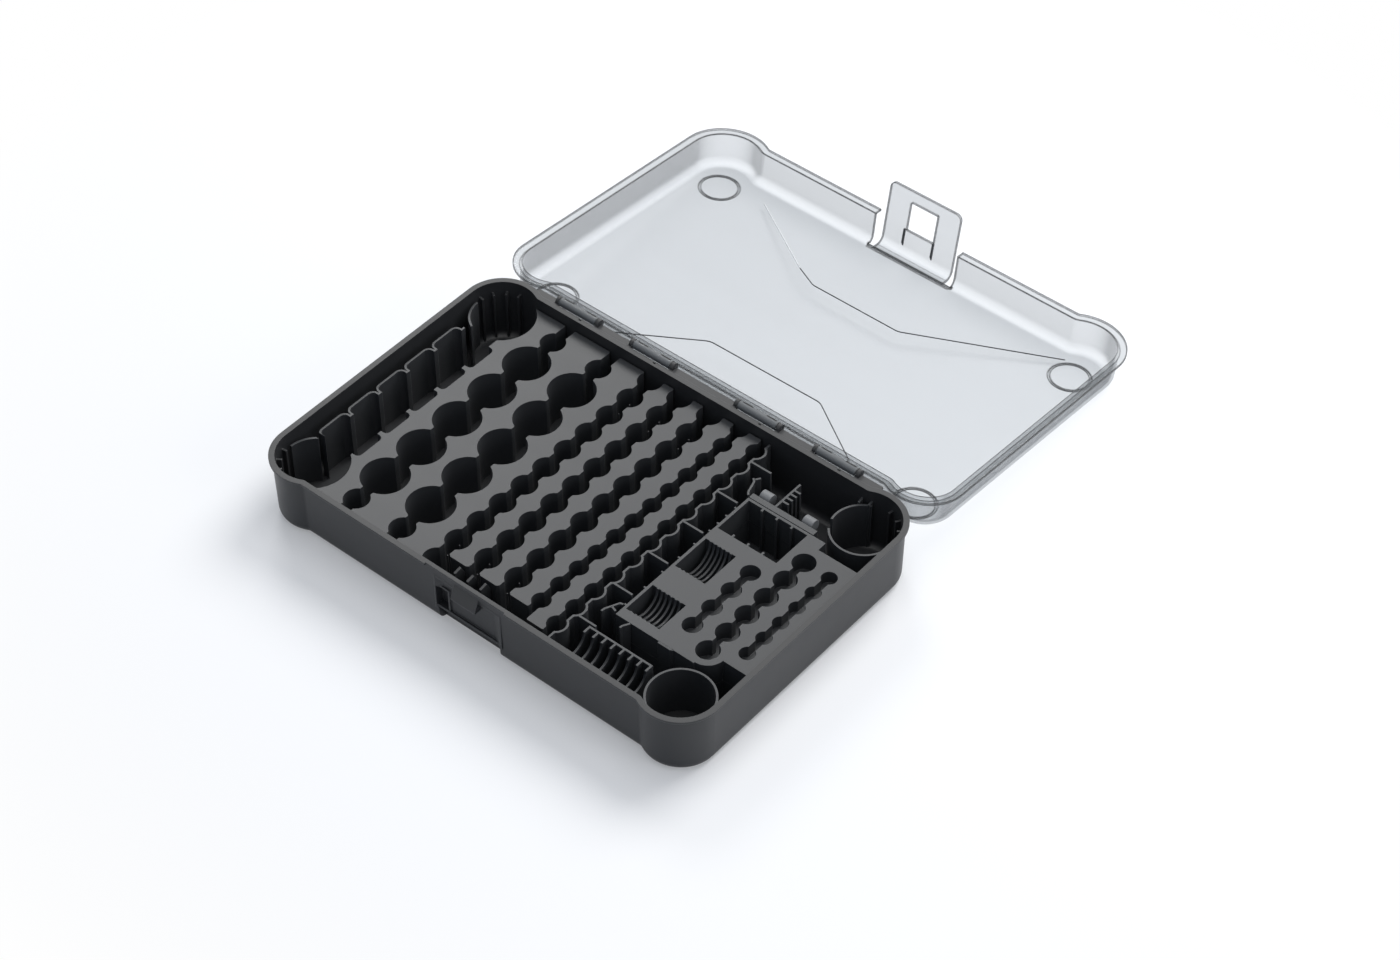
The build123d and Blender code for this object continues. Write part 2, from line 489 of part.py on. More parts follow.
well_a = (WELL_X0, WELL_X0 + WELL_A_WIDE, WELL_A_Y - WELL_A_LEN / 2, WELL_A_Y + WELL_A_LEN / 2)
well_b = (WELL_X0, WELL_X0 + WELL_B_WIDE, WELL_B_Y - WELL_B_LEN / 2, WELL_B_Y + WELL_B_LEN / 2)
well_c = (WELL_X0, WELL_X0 + CELL_WELL_WIDE, CELL_WELL_Y - CELL_WELL_LEN / 2, CELL_WELL_Y + CELL_WELL_LEN / 2)
slab_z = TRAY_TOP - COIN_TRAY_SLAB
slab = raised(tray_plan(0), slab_z, TRAY_TOP)
for x0, x1, y0, y1 in (well_a, well_b, well_c):
    slab -= block(x0, x1, y0, y1, slab_z - 1, TRAY_TOP + 1)
for x, first, pitch, count, d, depth in COIN_ROWS:
    ys = spaced(first, pitch, count)
    pockets = row_plan(x, ys, d, COIN_ROW_NECK, ys[0], ys[-1])
    slab -= raised(pockets, TRAY_TOP - depth, TRAY_TOP + 1)
save(slab, "coin_tray")

save(raised(tray_plan(0) - tray_plan(WELL_WALL_T), FLOOR_T, slab_z) & tray_room, "coin_tray_skirt")


def coin_well(well, fin_count, name):
    """A coin-cell well: a floor with upright fins scooped out for a thumb."""
    x0, x1, y0, y1 = well
    y_mid, scoop = (y0 + y1) / 2, (y1 - y0) / 2 - 0.4
    piece = block(x0, x1, y0, y1, WELL_FLOOR_Z - WELL_WALL_T, WELL_FLOOR_Z)
    pitch = (x1 - x0 - THIN_T) / (fin_count + 1)
    for k in range(1, fin_count + 1):
        x = x0 + k * pitch
        fin = block(x, x + THIN_T, y0, y1, WELL_FLOOR_Z, TRAY_TOP)
        piece += fin
    scoop_z = TRAY_TOP + 0.6
    piece -= rod_x(x0 - 1, x1 + 1, y_mid, scoop_z, scoop)
    save(piece, name)


coin_well(well_a, WELL_A_FINS, "coin_well_large")
coin_well(well_b, WELL_B_FINS, "coin_well_small")

# ---- the deep well behind, ribbed along both long sides
x0, x1, y0, y1 = well_c
liner = block(x0, x1, y0, y1, FLOOR_T, FLOOR_T + WELL_WALL_T)
for k in range(1, CELL_WELL_RIBS + 1):
    x = x0 + k * CELL_WELL_WIDE / (CELL_WELL_RIBS + 1)
    for ya, yb in ((y0, y0 + CELL_WELL_RIB), (y1 - CELL_WELL_RIB, y1)):
        liner += block(x - THIN_T / 2, x + THIN_T / 2, ya, yb, FLOOR_T + WELL_WALL_T, TRAY_TOP)
save(liner, "cell_well_liner")

# ---- the tester dock: a rail, two clips on it, and a comb
rail = block(RAIL_X0, RAIL_X1, RAIL_Y, RAIL_Y + RAIL_DEEP, FLOOR_T, TRAY_TOP)
save(rail, "tester_rail")
for side, cx in zip(("left", "right"), CLIP_X):
    clip = rod_x(cx - CLIP_LONG / 2, cx + CLIP_LONG / 2, CLIP_Y, TRAY_TOP + CLIP_RISE - CLIP_R, CLIP_R)
    clip += block(cx - CLIP_LONG / 2, cx + CLIP_LONG / 2, RAIL_Y + RAIL_DEEP, CLIP_Y,
                  TRAY_TOP + CLIP_RISE - 2 * CLIP_R, TRAY_TOP + CLIP_RISE - CLIP_R * 0.7)
    clip += block(cx - CLIP_LONG / 2 + 1.2, cx + CLIP_LONG / 2 - 1.2, CLIP_Y - 1.5, CLIP_Y + 1.5,
                  FLOOR_T, TRAY_TOP + CLIP_RISE - CLIP_R)
    save(clip, f"tester_clip_{side}")
comb = block(COMB_X - THIN_T / 2, COMB_X + THIN_T / 2, RAIL_Y + RAIL_DEEP, COMB_Y1, FLOOR_T, TRAY_TOP)
for y in spaced(COMB_FIRST_Y, COMB_PITCH, COMB_TEETH):
    comb += block(COMB_X, COMB_X + COMB_TOOTH, y - THIN_T / 2, y + THIN_T / 2, FLOOR_T, TRAY_TOP)
save(comb, "tester_comb")

# ---- the coin rack at the front wall
rack_x1 = RACK_X0 + RACK_SLOTS * RACK_PITCH
rack = block(RACK_X0 - THIN_T / 2, rack_x1 + THIN_T / 2, RACK_Y - THIN_T / 2, RACK_Y + THIN_T / 2,
             FLOOR_T, TRAY_TOP)
scoop_y = RACK_Y - RACK_LAND - RACK_SCOOP_R
for x in spaced(RACK_X0, RACK_PITCH, RACK_SLOTS + 1):
    fin = block(x - THIN_T / 2, x + THIN_T / 2, -BLOCK_Y, RACK_Y, FLOOR_T, TRAY_TOP)
    fin -= rod_x(x - 2, x + 2, scoop_y, TRAY_TOP, RACK_SCOOP_R)
    fin -= block(x - 2, x + 2, -BLOCK_Y - 1, scoop_y, TRAY_TOP - RACK_SCOOP_R, TRAY_TOP + 1)
    rack += fin
save(rack & tray_room, "coin_rack")

# ---- hinge pins
for i, x in enumerate(HINGE_X, 1):
    save(rod_x(x - HINGE_LONG / 2, x + HINGE_LONG / 2 - EAR_T / 2, AXIS_Y, AXIS_Z, PIN_R), f"hinge_pin_{i}")

# ---- the lid, drawn shut and then laid open
lid_outer = lobed_solid(LID_RIM_OUT, LID_RIM_OUT + DRAFT, LID_RIM_Z, LID_TOP_Z, LID_GROW, LID_FRONT)
lid_outer = fillet(lid_outer.faces().sort_by(Axis.Z)[-1].edges(), LID_EDGE_R)
lid_rim = lobed_solid(0, 0, LID_RIM_Z, LID_RIM_Z + RIM_T, LID_GROW, LID_FRONT)
lid_inner = LID_RIM_OUT + LID_WALL_T
lid_hollow = lobed_solid(lid_inner, lid_inner + DRAFT, LID_RIM_Z - 1, LID_TOP_Z - LID_PANEL_T,
                         LID_GROW, LID_FRONT)
lid_hollow = fillet(lid_hollow.faces().sort_by(Axis.Z)[-1].edges(), LID_EDGE_R - LID_PANEL_T)
lid = lid_outer + lid_rim - lid_hollow

# the front wall is open where the flap swings, and the panel runs flat to the flap's living hinge
break_x0, break_x1 = BREAK_X - LID_BREAK / 2, BREAK_X + LID_BREAK / 2
land_y = -RIM_Y - LID_FRONT + LID_RIM_OUT + DRAFT + LID_EDGE_R + 1
lid -= block(break_x0, break_x1, -RIM_Y - LID_FRONT - 1, land_y, LID_RIM_Z - 1, LID_TOP_Z + 1)
lid += block(break_x0, break_x1, FLAP_AXIS_Y, land_y, LID_TOP_Z - LAND_T, LID_TOP_Z)
lid -= rod_x(break_x0 - 1, break_x1 + 1, FLAP_AXIS_Y, FLAP_AXIS_Z, BEAD_R + BEAD_FIT)

# foot rings round the corners
foot = Circle(RING_R) - Circle(RING_R - RING_T)
for x in (-LOBE_X, LOBE_X):
    for y in (RING_FRONT_Y, RING_BACK_Y):
        lid += Pos(x, y, 0) * raised(foot, LID_TOP_Z - LID_PANEL_T / 2, LID_TOP_Z + RING_H)

# barrels, tied to the rim by a web with two slots
half_barrel = HINGE_LONG / 2 - EAR_T - EAR_GAP
barrels = []
for x in HINGE_X:
    barrel = rod_x(x - half_barrel, x + half_barrel, AXIS_Y, AXIS_Z, BARREL_R)
    web = block(x - half_barrel, x + half_barrel, RIM_Y - 1.5, AXIS_Y, LID_RIM_Z, LID_RIM_Z + RIM_T)
    for dx in (-8.2, 8.2):
        web -= block(x + dx - 3.3, x + dx + 3.3, RIM_Y + 0.1, RIM_Y + 0.9, LID_RIM_Z - 1, LID_RIM_Z + 3)
    barrel += web
    barrels.append(barrel - rod_x(x - half_barrel - 1, x + half_barrel + 1, AXIS_Y, AXIS_Z, PIN_R + PIN_FIT))
for barrel in barrels:
    lid += barrel
lid_open = lid.rotate(HINGE_AXIS, -OPEN_ANGLE)
save(lid_open, "lid_shell")

# ---- the latch flap: a top return on a living hinge, a plate and its window
flap_z0 = BASE_H - FLAP_DOWN
flap = rod_x(LATCH_X - FLAP_WIDE / 2, LATCH_X + FLAP_WIDE / 2, FLAP_AXIS_Y, FLAP_AXIS_Z, BEAD_R)
flap_x0, flap_x1 = LATCH_X - FLAP_WIDE / 2, LATCH_X + FLAP_WIDE / 2
flap_top = FLAP_AXIS_Z + BEAD_R
bend_y, bend_z = FLAP_FACE_Y - FLAP_T + FLAP_CORNER_R, flap_top - FLAP_CORNER_R
flap += block(flap_x0, flap_x1, bend_y, FLAP_AXIS_Y, flap_top - 2 * BEAD_R, flap_top)
flap += block(flap_x0, flap_x1, FLAP_FACE_Y - FLAP_T, FLAP_FACE_Y, flap_z0, bend_z)
bend = rod_x(flap_x0, flap_x1, bend_y, bend_z, FLAP_CORNER_R) - rod_x(
    flap_x0 - 1, flap_x1 + 1, bend_y, bend_z, FLAP_CORNER_R - FLAP_T)
flap += bend & block(flap_x0, flap_x1, FLAP_FACE_Y - FLAP_T, bend_y, bend_z, flap_top)
low = flap.edges().filter_by(Axis.Y).filter_by(lambda e: e.center().Z < flap_z0 + 0.1)
flap = fillet(low, FLAP_END_R)
flap -= block(LATCH_X - WINDOW_WIDE / 2, LATCH_X + WINDOW_WIDE / 2, FLAP_FACE_Y - 5, FLAP_FACE_Y + 5,
              BASE_H - WINDOW_LOW, BASE_H + WINDOW_HIGH)
flap_open = flap.rotate(FLAP_AXIS, FLAP_REST * -1).rotate(HINGE_AXIS, -OPEN_ANGLE)
save(flap_open, "latch_flap")

print(f"open angle {OPEN_ANGLE:.2f}, hinge axis y {AXIS_Y:.2f} z {AXIS_Z:.2f}")
flap_axis_open = Vector(0, FLAP_AXIS_Y - AXIS_Y, FLAP_AXIS_Z - AXIS_Z).rotate(Axis.X, -OPEN_ANGLE)
print(f"flap axis y {flap_axis_open.Y + AXIS_Y:.3f} z {flap_axis_open.Z + AXIS_Z:.3f}")
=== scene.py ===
"""Looks of the battery storage box: finishes, small fittings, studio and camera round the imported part."""

from __future__ import annotations

import logging
import math
from dataclasses import dataclass, field
from enum import Enum
from typing import Any, Sequence

import bmesh
import bpy
from mathutils import Matrix, Vector


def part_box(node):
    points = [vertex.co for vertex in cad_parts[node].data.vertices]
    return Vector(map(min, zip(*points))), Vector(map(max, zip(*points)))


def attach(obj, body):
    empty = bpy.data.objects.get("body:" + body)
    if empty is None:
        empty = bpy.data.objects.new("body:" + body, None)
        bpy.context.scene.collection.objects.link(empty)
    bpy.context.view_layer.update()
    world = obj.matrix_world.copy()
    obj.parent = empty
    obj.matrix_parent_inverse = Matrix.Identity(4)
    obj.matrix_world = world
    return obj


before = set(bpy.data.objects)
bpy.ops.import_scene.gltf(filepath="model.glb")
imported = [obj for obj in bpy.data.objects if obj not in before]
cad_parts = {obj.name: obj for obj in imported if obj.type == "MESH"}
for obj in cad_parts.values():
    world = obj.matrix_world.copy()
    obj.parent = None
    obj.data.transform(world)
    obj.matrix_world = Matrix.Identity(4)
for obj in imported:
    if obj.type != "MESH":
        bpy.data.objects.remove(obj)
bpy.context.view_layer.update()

log = logging.getLogger("battery_box")

Point = tuple[float, float, float]
Colour = tuple[float, float, float]
MM = 0.001
PLASTIC_IOR = 1.5
NOISE_MIDDLE = 0.5
LEAST_MITRE = 0.5
# The tray floor's top. The fittings' sizes are in mm, and the finishes' and the studio's in metres
FLOOR_TOP = 1.2


# Shader arithmetic


class Wire:
    """One output of a node tree that sums, products and differences extend with Math nodes."""

    def __init__(self, shop: "NodeShop", socket: bpy.types.NodeSocket) -> None:
        """Wraps a socket.

        Args:
            shop: the tree being made.
            socket: the output that this wire carries on.
        """
        self.shop = shop
        self.socket = socket

    def _with(self, operation: str, first: Any, second: Any = 0.0, clamp: bool = False) -> "Wire":
        """Adds one Math node.

        Args:
            operation: the Math node's operation.
            first: first value, a wire or a number.
            second: second value, a wire or a number.
            clamp: True keeps the result from 0 to 1.

        Returns:
            The node's value as a wire.
        """
        node = self.shop.node(
            "ShaderNodeMath", {"operation": operation, "use_clamp": clamp}, {0: first, 1: second}
        )
        return Wire(self.shop, node.outputs[0])

    def __add__(self, other: Any) -> "Wire":
        """Sum."""
        return self._with("ADD", self, other)

    __radd__ = __add__

    def __sub__(self, other: Any) -> "Wire":
        """Difference."""
        return self._with("SUBTRACT", self, other)

    def __rsub__(self, other: Any) -> "Wire":
        """Difference taken from a number."""
        return self._with("SUBTRACT", other, self)

    def __mul__(self, other: Any) -> "Wire":
        """Product."""
        return self._with("MULTIPLY", self, other)

    __rmul__ = __mul__

    def __pow__(self, other: float) -> "Wire":
        """Power."""
        return self._with("POWER", self, other)

    def most(self, limit: float) -> "Wire":
        """The same value kept no higher than a limit."""
        return self._with("MINIMUM", self, limit)

    def size(self) -> "Wire":
        """The value without its sign."""
        return self._with("ABSOLUTE", self)

    def held(self) -> "Wire":
        """The same value kept from 0 to 1."""
        return self._with("ADD", self, 0.0, clamp=True)


class NodeShop:
    """A node tree under construction, whose nodes all come from one method."""

    def __init__(self, tree: bpy.types.NodeTree) -> None:
        """Takes a tree and empties it.

        Args:
            tree: the node tree.
        """
        self.tree = tree
        self.tree.nodes.clear()

    def node(
        self, kind: str, settings: dict[str, Any] | None = None, inputs: dict[Any, Any] | None = None
    ) -> bpy.types.Node:
        """Adds a node.

        Args:
            kind: the node's type.
            settings: its own settings, set first.
            inputs: socket name or number to a wire, a socket or a plain value.

        Returns:
            The new node.
        """
        made = self.tree.nodes.new(kind)
        for key, value in (settings or {}).items():
            setattr(made, key, value)
        for key, value in (inputs or {}).items():
            source = value.socket if isinstance(value, Wire) else value
            if isinstance(source, bpy.types.NodeSocket):
                self.tree.links.new(source, made.inputs[key])
            else:
                made.inputs[key].default_value = source
        return made

    def wire(self, node: bpy.types.Node, output: str | int = 0) -> Wire:
        """A node's output as a wire."""
        return Wire(self, node.outputs[output])


class Shader(NodeShop):
    """A material under construction."""

    def __init__(self, name: str) -> None:
        """Starts an empty material.

        Args:
            name: the finish's name.
        """
        self.material = bpy.data.materials.new(name)
        self.material.use_nodes = True
        super().__init__(self.material.node_tree)

    def place(self) -> Wire:
        """The point on the surface, in the row frame's metres."""
        return self.wire(self.node("ShaderNodeTexCoord"), "Object")

    def noise(
        self, size: float, detail: float = 2.0, rough: float = 0.5, stretch: Point = (1, 1, 1)
    ) -> Wire:
        """Soft random variation over the surface.

        Args:
            size: width of one patch, in metres.
            detail: levels of finer detail.
            rough: strength of the finer levels.
            stretch: patch lengths along the three axes, as shares of size.

        Returns:
            A value from 0 to 1, near 0.5 on average.
        """
        turned = self.node(
            "ShaderNodeMapping", {}, {"Vector": self.place(), "Scale": tuple(1 / s for s in stretch)}
        )
        made = self.node(
            "ShaderNodeTexNoise",
            {"noise_dimensions": "3D"},
            {"Vector": self.wire(turned), "Scale": 1 / size, "Detail": detail, "Roughness": rough},
        )
        return self.wire(made, 0)

    def mix(self, share: Wire, low: Any, high: Any) -> Wire:
        """A colour between two.

        Args:
            share: 0 gives low and 1 gives high.
            low: a colour or a colour wire.
            high: a colour or a colour wire.

        Returns:
            The colour.
        """
        colours = [c if isinstance(c, Wire) else (*c, 1.0) for c in (low, high)]
        node = self.node(
            "ShaderNodeMix", {"data_type": "RGBA"}, {0: share, 6: colours[0], 7: colours[1]}
        )
        return Wire(self, node.outputs[2])

    def edges(self, width: float, gain: float) -> tuple[Wire, Wire]:
        """Where the surface turns a corner.

        Args:
            width: how far from the corner it counts, in metres.
            gain: strength of the mask.

        Returns:
            The mask from 0 to 1, and the normal rounded over the corner.
        """
        round_ = self.node("ShaderNodeBevel", {"samples": 4}, {"Radius": width})
        flat = self.node("ShaderNodeNewGeometry")
        turn = self.node(
            "ShaderNodeVectorMath",
            {"operation": "DOT_PRODUCT"},
            {0: self.wire(round_), 1: self.wire(flat, "Normal")},
        )
        mask = ((1 - Wire(self, turn.outputs["Value"])) * gain).held()
        return mask, self.wire(round_)

    def bump(self, height: Wire, depth: float, strength: float, normal: Wire) -> Wire:
        """Fine relief on the surface.

        Args:
            height: the relief, from 0 to 1.
            depth: its depth in metres.
            strength: how much of it shows.
            normal: the normal under it.

        Returns:
            The normal.
        """
        inputs = {"Height": height, "Distance": depth, "Strength": strength, "Normal": normal}
        return self.wire(self.node("ShaderNodeBump", {}, inputs))

    def done(self, surface: Wire) -> bpy.types.Material:
        """Connects the surface and gives the material."""
        self.node("ShaderNodeOutputMaterial", {}, {"Surface": surface})
        return self.material


# Shapes


class ShapeTree(NodeShop):
    """A Geometry Nodes tree with named sizes, whose result becomes a plain mesh piece."""

    def __init__(self, name: str, sizes: dict[str, float]) -> None:
        """Starts the tree.

        Args:
            name: the tree's name.
            sizes: named inputs and their values, in metres.
        """
        super().__init__(bpy.data.node_groups.new(name, "GeometryNodeTree"))
        self.sizes = sizes
        face = self.tree.interface
        face.new_socket("Geometry", in_out="INPUT", socket_type="NodeSocketGeometry")
        self.keys: dict[str, str] = {}
        for key, value in sizes.items():
            item = face.new_socket(key, in_out="INPUT", socket_type="NodeSocketFloat")
            item.default_value = value
            self.keys[key] = item.identifier
        face.new_socket("Geometry", in_out="OUTPUT", socket_type="NodeSocketGeometry")
        self.source = self.node("NodeGroupInput")

    def size(self, key: str) -> bpy.types.NodeSocket:
        """The named size's output in the tree."""
        return self.source.outputs[key]

    def end(self, shape: bpy.types.NodeSocket, material: bpy.types.Material) -> None:
        """Closes the tree with real geometry in one finish.

        Args:
            shape: the geometry so far.
            material: its finish.
        """
        real = self.node("GeometryNodeRealizeInstances", {}, {0: shape})
        dressed = self.node(
            "GeometryNodeSetMaterial", {}, {"Geometry": real.outputs[0], "Material": material}
        )
        self.node("NodeGroupOutput", {}, {0: dressed.outputs[0]})

    def run(self, name: str, base: bpy.types.Mesh) -> bpy.types.Object:
        """Grows the piece on a base mesh.

        Args:
            name: the piece's name.
            base: points or a path, in the row frame.

        Returns:
            The finished piece, a plain mesh at the origin.
        """
        carrier = bpy.data.objects.new(name + "_path", base)
        bpy.context.scene.collection.objects.link(carrier)
        step = carrier.modifiers.new("shape", "NODES")
        step.node_group = self.tree
        for key, value in self.sizes.items():
            step[self.keys[key]] = value
        solid = carrier.evaluated_get(bpy.context.evaluated_depsgraph_get())
        mesh = bpy.data.meshes.new_from_object(solid)
        carrier.modifiers.remove(step)
        bpy.data.objects.remove(carrier)
        return piece_of(name, mesh)


def piece_of(name: str, mesh: bpy.types.Mesh) -> bpy.types.Object:
    """Puts a mesh in the scene as a piece.

    Args:
        name: the piece's name.
        mesh: its mesh, in the row frame.

    Returns:
        The piece.
    """
    work = bmesh.new()
    work.from_mesh(mesh)
    bmesh.ops.recalc_face_normals(work, faces=work.faces)
    work.to_mesh(mesh)
    work.free()
    mesh.name = name
    made = bpy.data.objects.new(name, mesh)
    bpy.context.scene.collection.objects.link(made)
    return made


def path_mesh(name: str, points: Sequence[Point]) -> bpy.types.Mesh:
    """A mesh that holds only an open path.

    Args:
        name: the mesh's name.
        points: the path's corners.

    Returns:
        The mesh.
    """
    mesh = bpy.data.meshes.new(name)
    mesh.from_pydata(list(points), [(i, i + 1) for i in range(len(points) - 1)], [])
    return mesh


def prism(
    name: str, outline: Sequence[tuple[float, float]], low: float, high: float
) -> bpy.types.Mesh:
    """An upright prism on a plan.

    Args:
        name: the mesh's name.
        outline: the plan's corners, in metres.
        low: height of its foot.
        high: height of its top.

    Returns:
        The mesh.
    """
    count = len(outline)
    points = [(x, y, low) for x, y in outline] + [(x, y, high) for x, y in outline]
    faces = [tuple(range(count))[::-1], tuple(range(count, 2 * count))]
    faces += [(i, (i + 1) % count, count + (i + 1) % count, count + i) for i in range(count)]
    mesh = bpy.data.meshes.new(name)
    mesh.from_pydata(points, [], faces)
    return mesh


def wall_plan(points: Sequence[tuple[float, float]], thick: float) -> list[tuple[float, float]]:
    """The outline of a thin wall that follows a path, mitred at its bends.

    Args:
        points: the path.
        thick: the wall's thickness.

    Returns:
        The outline's corners.
    """
    left: list[tuple[float, float]] = []
    right: list[tuple[float, float]] = []
    for i, (x, y) in enumerate(points):
        before = Vector(points[max(i - 1, 0)])
        after = Vector(points[min(i + 1, len(points) - 1)])
        here = Vector((x, y))
        ways = [w.normalized() for w in (here - before, after - here) if w.length > 0]
        along = sum(ways, Vector((0.0, 0.0))).normalized()
        side = Vector((-along.y, along.x)) * (thick / 2 / max(LEAST_MITRE, along.dot(ways[0])))
        left.append((x + side.x, y + side.y))
        right.append((x - side.x, y - side.y))
    return left + right[::-1]


def soften(piece: bpy.types.Object, width: float) -> None:
    """Rounds a piece's corners with a small bevel.

    Args:
        piece: the piece.
        width: the bevel's width in metres.
    """
    step = piece.modifiers.new("soft_corners", "BEVEL")
    step.width = width
    step.segments = 2
    step.limit_method = "ANGLE"


@dataclass(frozen=True)
class LidPose:
    """Turns a place on the shut lid to where it is with the lid laid open."""

    axis_y: float = 99.6
    axis_z: float = 41.35
    angle: float = 185.64

    def laid(self, x: float, y: float, z: float) -> Point:
        """A point of the shut lid, in mm, as a point of the open one, in metres.

        Args:
            x: along the box.
            y: front to back.
            z: up.

        Returns:
            The point in the row frame.
        """
        turn = math.radians(-self.angle)
        dy, dz = y - self.axis_y, z - self.axis_z
        ty = dy * math.cos(turn) - dz * math.sin(turn)
        tz = dy * math.sin(turn) + dz * math.cos(turn)
        return (x * MM, (self.axis_y + ty) * MM, (self.axis_z + tz) * MM)


# Finishes


@dataclass(frozen=True)
class SatinMould:
    """Moulded plastic with a fine spark-eroded grain, soft flow marks and paler corners of painted
    highlight.
    """

    name: str
    tone: Colour
    # corner is the paler colour of the painted highlight along the corners
    corner: Colour
    rough: float
    shine: float = 0.34
    patch_size: float = 0.055
    flow_size: float = 0.012
    flow_stretch: Point = (6, 1, 1)
    highlight_patch_size: float = 0.009
    grain_size: float = 0.0007
    grain_depth: float = 0.00003
    grain_shows: float = 0.35
    corner_width: float = 0.0004
    corner_gain: float = 1.6
    darker: float = 0.86
    paler: float = 1.14
    patch_share: float = 0.6
    flow_share: float = 0.25
    grain_share: float = 0.15
    least_edge_highlight: float = 0.45
    highlight_patchiness: float = 0.8
    rough_drop: float = 0.06
    flow_roughens: float = 0.08
    grain_roughens: float = 0.06
    highlight_smooths: float = 0.08

    def make(self) -> bpy.types.Material:
        """Builds the node material."""
        s = Shader(self.name)
        patches = s.noise(self.patch_size, detail=3.0)
        flow = s.noise(self.flow_size, detail=4.0, rough=0.6, stretch=self.flow_stretch)
        grain = s.noise(self.grain_size, detail=3.0, rough=0.7)
        highlight_patches = s.noise(self.highlight_patch_size, detail=5.0, rough=0.65)
        mask, rounded = s.edges(self.corner_width, self.corner_gain)
        low = tuple(c * self.darker for c in self.tone)
        high = tuple(c * self.paler for c in self.tone)
        variety = patches * self.patch_share + flow * self.flow_share + grain * self.grain_share
        body = s.mix(variety.held(), low, high)
        # Painted highlight: corners lightened towards the corner colour, in patches set by noise
        edge_highlight = (mask * (self.least_edge_highlight + highlight_patches * self.highlight_patchiness)).held()
        colour = s.mix(edge_highlight, body, self.corner)
        rough = (self.rough - self.rough_drop) + flow * self.flow_roughens
        rough = rough + grain * self.grain_roughens - edge_highlight * self.highlight_smooths
        normal = s.bump(grain, self.grain_depth, self.grain_shows, rounded)
        shader = s.node(
            "ShaderNodeBsdfPrincipled",
            {},
            {
                "Base Color": colour,
                "Roughness": rough,
                "Normal": normal,
                "IOR": PLASTIC_IOR,
                "Specular IOR Level": self.shine,
            },
        )
        return s.done(s.wire(shader))


@dataclass(frozen=True)
class ClearMould:
    """Cool smoke-clear plastic sheet: see-through faces, darker where the sheet is seen end on, and
    near-black lines of painted shade along its edges.
    """

    name: str
    tint: Colour
    body: Colour
    # edge is the near-black colour of the painted shade along the sheet's edges
    edge: Colour
    deepest: float = 0.22
    wall_depth: float = 0.15
    let_through: float = 0.7
    depth: float = 2.4
    depth_power: float = 3.0
    shine: float = 0.4
    edge_width: float = 0.0014
    edge_gain: float = 14.0
    edge_depth: float = 0.95
    streak_size: float = 0.02
    streak_stretch: Point = (8, 1, 1)
    streak_depth: float = 0.02
    wave_size: float = 0.035
    fine_size: float = 0.0011
    darker: float = 0.92
    rough: float = 0.05
    streaks_roughen: float = 0.06
    fine_roughens: float = 0.04
    edge_roughens: float = 0.12
    wave_relief: float = 0.8
    fine_relief: float = 0.02
    relief_depth: float = 0.0002
    relief_shows: float = 0.15

    def make(self) -> bpy.types.Material:
        """Builds the node material."""
        s = Shader(self.name)
        # The edge mask paints shade: near-black lines along the sheet's edges, where clear plastic edges
        # look dark
        mask, rounded = s.edges(self.edge_width, self.edge_gain)
        streaks = s.noise(self.streak_size, detail=4.0, rough=0.6, stretch=self.streak_stretch)
        waves = s.noise(self.wave_size)
        fine = s.noise(self.fine_size)
        facing = s.wire(s.node("ShaderNodeLayerWeight", {}, {"Blend": 0.5}), "Facing")
        way = s.node("ShaderNodeSeparateXYZ", {}, {0: s.wire(s.node("ShaderNodeTexCoord"), "Normal")})
        upright = 1 - s.wire(way, "Z").size()
        sheet = (facing**self.depth_power * self.depth).most(self.deepest) + upright * self.wall_depth
        smoke = (sheet + mask * self.edge_depth + (streaks - NOISE_MIDDLE) * self.streak_depth).held()
        in_shade = s.wire(s.node("ShaderNodeLightPath"), "Is Shadow Ray")
        share = smoke * (1 - in_shade * self.let_through)
        sheet_colour = s.mix(waves, tuple(c * self.darker for c in self.body), self.body)
        # Painted shade: edges mixed towards the near-black edge colour
        colour = s.mix(mask, sheet_colour, self.edge)
        rough = self.rough + streaks * self.streaks_roughen + fine * self.fine_roughens
        rough = rough + mask * self.edge_roughens
        relief = waves * self.wave_relief + fine * self.fine_relief
        normal = s.bump(relief, self.relief_depth, self.relief_shows, rounded)
        solid = s.node(
            "ShaderNodeBsdfPrincipled",
            {},
            {
                "Base Color": colour,
                "Roughness": rough,
                "Normal": normal,
                "IOR": PLASTIC_IOR,
                "Specular IOR Level": self.shine,
            },
        )
        clear = s.node("ShaderNodeBsdfTransparent", {}, {"Color": (*self.tint, 1.0)})
        both = s.node("ShaderNodeMixShader", {}, {0: share, 1: s.wire(clear), 2: s.wire(solid)})
        return s.done(s.wire(both))


